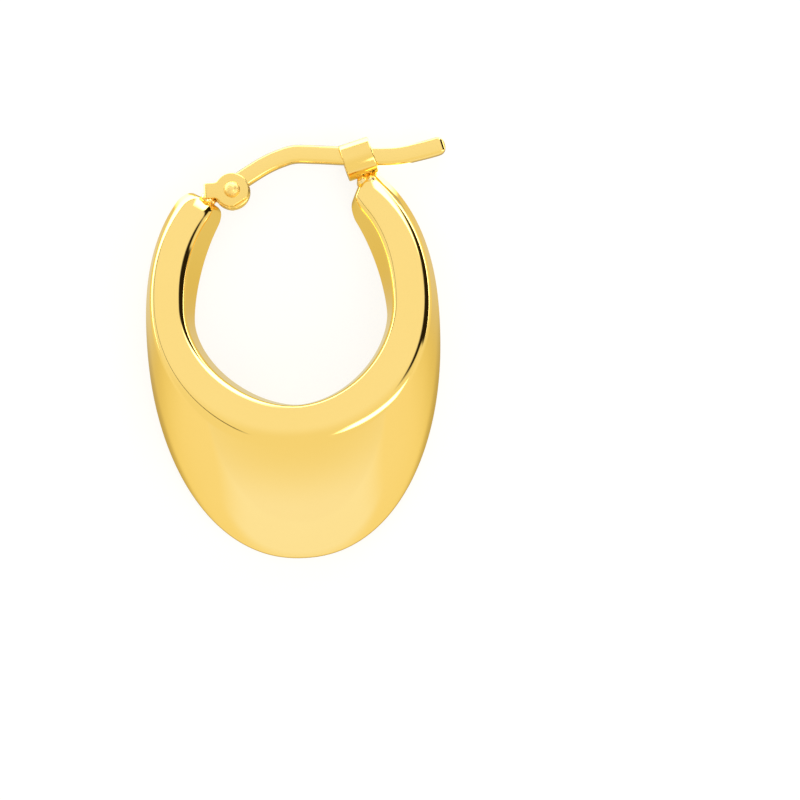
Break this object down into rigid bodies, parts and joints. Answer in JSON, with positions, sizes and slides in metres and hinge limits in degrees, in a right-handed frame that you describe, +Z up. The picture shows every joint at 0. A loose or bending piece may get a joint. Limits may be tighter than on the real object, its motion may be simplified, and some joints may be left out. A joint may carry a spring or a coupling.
{
  "type": "creole hoop earring",
  "caption": "Oval creole hoop earring with a flat front rim, a flared lower wall, and a hinged ear wire that closes in an open ring catch.",
  "frame": {"origin": "on the surface that the earring lies on, under the middle of its bounding box", "axes": "+Y runs from the bottom rim to the clasp, +X towards the catch end of the hoop, and +Z is up, towards the front of the earring"},
  "size_m": [0.0184, 0.0251, 0.0067],
  "materials": {
    "polished_gold": "mirror-polished yellow gold",
    "wire_gold": "polished drawn gold wire"
  },
  "bodies": {
    "hoop": {"hoop": "polished_gold", "hinge_rivet": "wire_gold"},
    "ear_wire": {"ear_wire": "wire_gold"}
  },
  "joints": [
    {"name": "wire_hinge", "type": "hinge", "parent": "hoop", "child": "ear_wire", "pos_m": [-0.00367, 0.0096, 0.0014], "axis": [0, 0.1736, 0.9848], "range_deg": [0, 90]}
  ]
}
